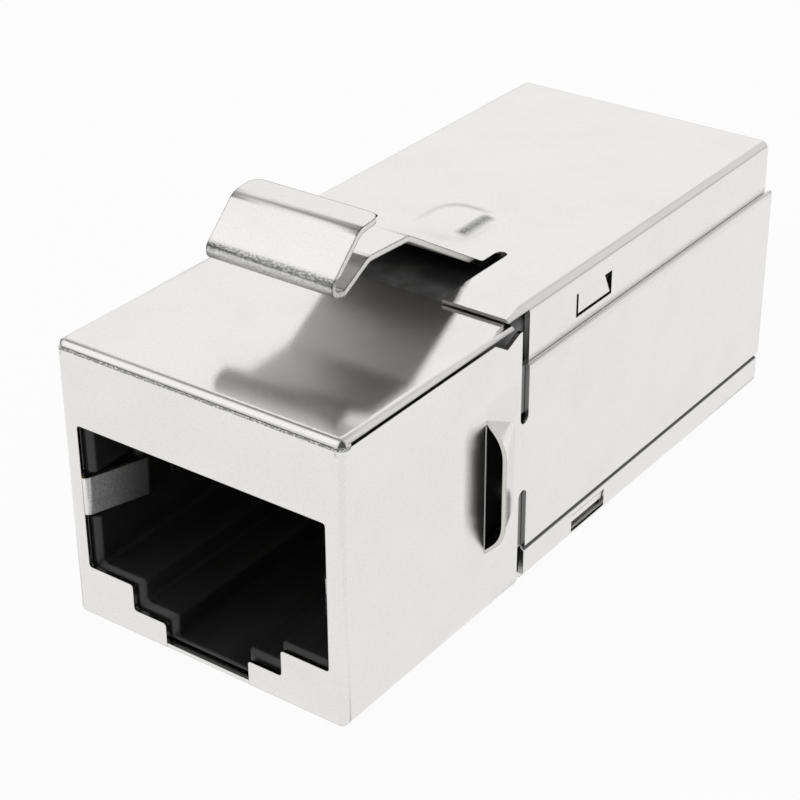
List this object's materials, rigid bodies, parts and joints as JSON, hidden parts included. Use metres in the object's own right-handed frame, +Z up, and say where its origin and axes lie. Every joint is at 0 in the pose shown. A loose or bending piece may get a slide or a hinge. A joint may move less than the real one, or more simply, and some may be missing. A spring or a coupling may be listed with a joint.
{
  "type": "rj45 inline coupler",
  "caption": "Shielded inline coupler with a modular socket at each end, folded metal shells and a sprung panel latch on top.",
  "frame": {"origin": "bottom centre of the bounding box, under the middle of the coupler", "axes": "+Z up, the front socket faces -Y and the rear socket +Y, +X to the right seen from the front"},
  "size_m": [0.0164, 0.0344, 0.0182],
  "materials": {
    "nickel_shell": "satin nickel plating on folded sheet",
    "black_moulding": "fine matt moulded black plastic",
    "gilded_contact": "thin gold plating on bronze spring wire",
    "board_laminate": "green solder mask on glass-filled board"
  },
  "bodies": {
    "root": {"front_shell": "nickel_shell", "rear_top_cover": "nickel_shell", "bottom_cover": "nickel_shell", "front_jack_housing": "black_moulding", "rear_jack_housing": "black_moulding", "front_contact_carrier": "black_moulding", "rear_contact_carrier": "black_moulding", "circuit_board": "board_laminate", "contact_front_1": "gilded_contact", "contact_front_2": "gilded_contact", "contact_front_3": "gilded_contact", "contact_front_4": "gilded_contact", "contact_front_5": "gilded_contact", "contact_front_6": "gilded_contact", "contact_front_7": "gilded_contact", "contact_front_8": "gilded_contact", "contact_rear_1": "gilded_contact", "contact_rear_2": "gilded_contact", "contact_rear_3": "gilded_contact", "contact_rear_4": "gilded_contact", "contact_rear_5": "gilded_contact", "contact_rear_6": "gilded_contact", "contact_rear_7": "gilded_contact", "contact_rear_8": "gilded_contact"}
  },
  "joints": []
}
